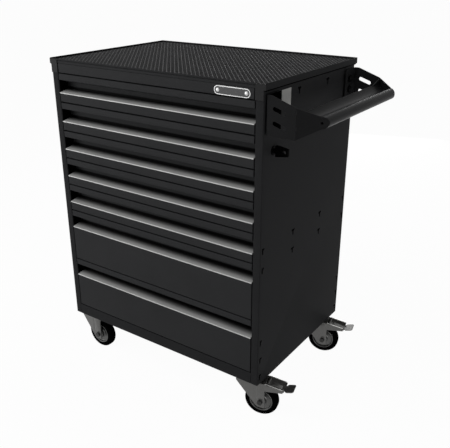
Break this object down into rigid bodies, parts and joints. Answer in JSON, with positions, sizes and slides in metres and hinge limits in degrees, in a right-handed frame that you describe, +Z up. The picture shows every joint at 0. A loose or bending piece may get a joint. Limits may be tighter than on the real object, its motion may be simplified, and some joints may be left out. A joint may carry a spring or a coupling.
{
  "type": "drawer tool cabinet",
  "caption": "Wheeled steel tool cabinet with sliding drawers, folded finger-recess fronts, matted lid, side grip with tray, side key lock and swivel castors with pedals.",
  "frame": {"origin": "on the floor, under the middle of the whole object's bounding box", "axes": "+Z up, -Y out of the drawers' front, +X towards the side with the handle and the lock"},
  "size_m": [0.8708, 0.5066, 0.965],
  "materials": {
    "body_paint": "powder coat, fine texture",
    "drawer_paint": "powder coat",
    "cap_plastic": "moulded, fine grain",
    "mat_rubber": "ribbed sheet",
    "zinc_steel": "zinc plated",
    "dark_steel": "blackened",
    "wheel_steel": "pressed, zinc plated",
    "trim_aluminium": "satin anodised",
    "tyre_rubber": "solid rubber",
    "key_plastic": "moulded black"
  },
  "bodies": {
    "carcass": {"side_panel_left": "body_paint", "side_panel_right": "body_paint", "back_panel": "body_paint", "base_pan": "body_paint", "top_fascia": "body_paint", "corner_caps": "cap_plastic", "lid_tray": "body_paint", "top_mat": "mat_rubber", "slide_uprights": "zinc_steel", "slide_outer_rails": "zinc_steel", "handle_brackets": "body_paint", "handle_rail": "body_paint", "handle_bolts": "dark_steel", "lock_housing": "zinc_steel", "castor_plates": "zinc_steel"},
    "drawer_1": {"drawer_box_1": "drawer_paint", "drawer_front_1": "body_paint", "drawer_grip_1": "trim_aluminium"},
    "slide_middle_1": {"slide_middle_1": "zinc_steel"},
    "drawer_2": {"drawer_box_2": "drawer_paint", "drawer_front_2": "body_paint", "drawer_grip_2": "trim_aluminium"},
    "slide_middle_2": {"slide_middle_2": "zinc_steel"},
    "drawer_3": {"drawer_box_3": "drawer_paint", "drawer_front_3": "body_paint", "drawer_grip_3": "trim_aluminium"},
    "slide_middle_3": {"slide_middle_3": "zinc_steel"},
    "drawer_4": {"drawer_box_4": "drawer_paint", "drawer_front_4": "body_paint", "drawer_grip_4": "trim_aluminium"},
    "slide_middle_4": {"slide_middle_4": "zinc_steel"},
    "drawer_5": {"drawer_box_5": "drawer_paint", "drawer_front_5": "body_paint", "drawer_grip_5": "trim_aluminium"},
    "slide_middle_5": {"slide_middle_5": "zinc_steel"},
    "drawer_6": {"drawer_box_6": "drawer_paint", "drawer_front_6": "body_paint", "drawer_grip_6": "trim_aluminium"},
    "slide_middle_6": {"slide_middle_6": "zinc_steel"},
    "drawer_7": {"drawer_box_7": "drawer_paint", "drawer_front_7": "body_paint", "drawer_grip_7": "trim_aluminium"},
    "slide_middle_7": {"slide_middle_7": "zinc_steel"},
    "castor_front_right": {"castor_fork_front_right": "zinc_steel"},
    "wheel_front_right": {"castor_wheel_front_right": "wheel_steel", "castor_tyre_front_right": "tyre_rubber"},
    "pedal_front_right": {"brake_pedal_front_right": "zinc_steel"},
    "castor_rear_right": {"castor_fork_rear_right": "zinc_steel"},
    "wheel_rear_right": {"castor_wheel_rear_right": "wheel_steel", "castor_tyre_rear_right": "tyre_rubber"},
    "pedal_rear_right": {"brake_pedal_rear_right": "zinc_steel"},
    "castor_front_left": {"castor_fork_front_left": "zinc_steel"},
    "wheel_front_left": {"castor_wheel_front_left": "wheel_steel", "castor_tyre_front_left": "tyre_rubber"},
    "castor_rear_left": {"castor_fork_rear_left": "zinc_steel"},
    "wheel_rear_left": {"castor_wheel_rear_left": "wheel_steel", "castor_tyre_rear_left": "tyre_rubber"},
    "lock_core": {"lock_core": "zinc_steel"},
    "key_bow": {"key_bow": "key_plastic"},
    "lock_bar": {"lock_bar": "zinc_steel"}
  },
  "joints": [
    {"name": "drawer_1_slide", "type": "slide", "parent": "carcass", "child": "drawer_1", "axis": [0, -1, 0], "range_m": [0, 0.43]},
    {"name": "slide_middle_1_slide", "type": "slide", "parent": "carcass", "child": "slide_middle_1", "axis": [0, -1, 0], "range_m": [0, 0.215]},
    {"name": "drawer_2_slide", "type": "slide", "parent": "carcass", "child": "drawer_2", "axis": [0, -1, 0], "range_m": [0, 0.43]},
    {"name": "slide_middle_2_slide", "type": "slide", "parent": "carcass", "child": "slide_middle_2", "axis": [0, -1, 0], "range_m": [0, 0.215]},
    {"name": "drawer_3_slide", "type": "slide", "parent": "carcass", "child": "drawer_3", "axis": [0, -1, 0], "range_m": [0, 0.43]},
    {"name": "slide_middle_3_slide", "type": "slide", "parent": "carcass", "child": "slide_middle_3", "axis": [0, -1, 0], "range_m": [0, 0.215]},
    {"name": "drawer_4_slide", "type": "slide", "parent": "carcass", "child": "drawer_4", "axis": [0, -1, 0], "range_m": [0, 0.43]},
    {"name": "slide_middle_4_slide", "type": "slide", "parent": "carcass", "child": "slide_middle_4", "axis": [0, -1, 0], "range_m": [0, 0.215]},
    {"name": "drawer_5_slide", "type": "slide", "parent": "carcass", "child": "drawer_5", "axis": [0, -1, 0], "range_m": [0, 0.43]},
    {"name": "slide_middle_5_slide", "type": "slide", "parent": "carcass", "child": "slide_middle_5", "axis": [0, -1, 0], "range_m": [0, 0.215]},
    {"name": "drawer_6_slide", "type": "slide", "parent": "carcass", "child": "drawer_6", "axis": [0, -1, 0], "range_m": [0, 0.43]},
    {"name": "slide_middle_6_slide", "type": "slide", "parent": "carcass", "child": "slide_middle_6", "axis": [0, -1, 0], "range_m": [0, 0.215]},
    {"name": "drawer_7_slide", "type": "slide", "parent": "carcass", "child": "drawer_7", "axis": [0, -1, 0], "range_m": [0, 0.43]},
    {"name": "slide_middle_7_slide", "type": "slide", "parent": "carcass", "child": "slide_middle_7", "axis": [0, -1, 0], "range_m": [0, 0.215]},
    {"name": "castor_front_right_swivel", "type": "hinge", "parent": "carcass", "child": "castor_front_right", "pos_m": [0.24735, -0.2117, 0.1156], "axis": [0, 0, 1], "continuous": true},
    {"name": "wheel_front_right_spin", "type": "hinge", "parent": "castor_front_right", "child": "wheel_front_right", "pos_m": [0.27869, -0.20389, 0.05], "axis": [-0.2419, 0.9703, 0], "continuous": true},
    {"name": "pedal_front_right_press", "type": "hinge", "parent": "castor_front_right", "child": "pedal_front_right", "pos_m": [0.29878, -0.19888, 0.11175], "axis": [-0.2419, 0.9703, 0], "range_deg": [0, 12]},
    {"name": "castor_rear_right_swivel", "type": "hinge", "parent": "carcass", "child": "castor_rear_right", "pos_m": [0.24735, 0.1823, 0.1156], "axis": [0, 0, 1], "continuous": true},
    {"name": "wheel_rear_right_spin", "type": "hinge", "parent": "castor_rear_right", "child": "wheel_rear_right", "pos_m": [0.27869, 0.19011, 0.05], "axis": [-0.2419, 0.9703, 0], "continuous": true},
    {"name": "pedal_rear_right_press", "type": "hinge", "parent": "castor_rear_right", "child": "pedal_rear_right", "pos_m": [0.29878, 0.19512, 0.11175], "axis": [-0.2419, 0.9703, 0], "range_deg": [0, 12]},
    {"name": "castor_front_left_swivel", "type": "hinge", "parent": "carcass", "child": "castor_front_left", "pos_m": [-0.38805, -0.2117, 0.1156], "axis": [0, 0, 1], "continuous": true},
    {"name": "wheel_front_left_spin", "type": "hinge", "parent": "castor_front_left", "child": "wheel_front_left", "pos_m": [-0.35575, -0.2117, 0.05], "axis": [0, 1, 0], "continuous": true},
    {"name": "castor_rear_left_swivel", "type": "hinge", "parent": "carcass", "child": "castor_rear_left", "pos_m": [-0.38805, 0.1823, 0.1156], "axis": [0, 0, 1], "continuous": true},
    {"name": "wheel_rear_left_spin", "type": "hinge", "parent": "castor_rear_left", "child": "wheel_rear_left", "pos_m": [-0.35575, 0.1823, 0.05], "axis": [0, 1, 0], "continuous": true},
    {"name": "lock_turn", "type": "hinge", "parent": "carcass", "child": "lock_core", "pos_m": [0.28965, -0.2017, 0.795], "axis": [-1, 0, 0], "range_deg": [0, 90]},
    {"name": "lock_bar_slide", "type": "slide", "parent": "carcass", "child": "lock_bar", "axis": [0, 0, -1], "range_m": [0, 0.01131]},
    {"name": "key_bow_fold", "type": "hinge", "parent": "lock_core", "child": "key_bow", "pos_m": [0.30785, -0.2017, 0.795], "axis": [0, 1, 0], "range_deg": [0, 90]}
  ],
  "couplings": [
    {"joint": "slide_middle_1_slide", "follows": "drawer_1_slide", "ratio": 0.5},
    {"joint": "slide_middle_2_slide", "follows": "drawer_2_slide", "ratio": 0.5},
    {"joint": "slide_middle_3_slide", "follows": "drawer_3_slide", "ratio": 0.5},
    {"joint": "slide_middle_4_slide", "follows": "drawer_4_slide", "ratio": 0.5},
    {"joint": "slide_middle_5_slide", "follows": "drawer_5_slide", "ratio": 0.5},
    {"joint": "slide_middle_6_slide", "follows": "drawer_6_slide", "ratio": 0.5},
    {"joint": "slide_middle_7_slide", "follows": "drawer_7_slide", "ratio": 0.5},
    {"joint": "lock_turn", "follows": "lock_bar_slide", "rad_per_m": 138.83}
  ]
}
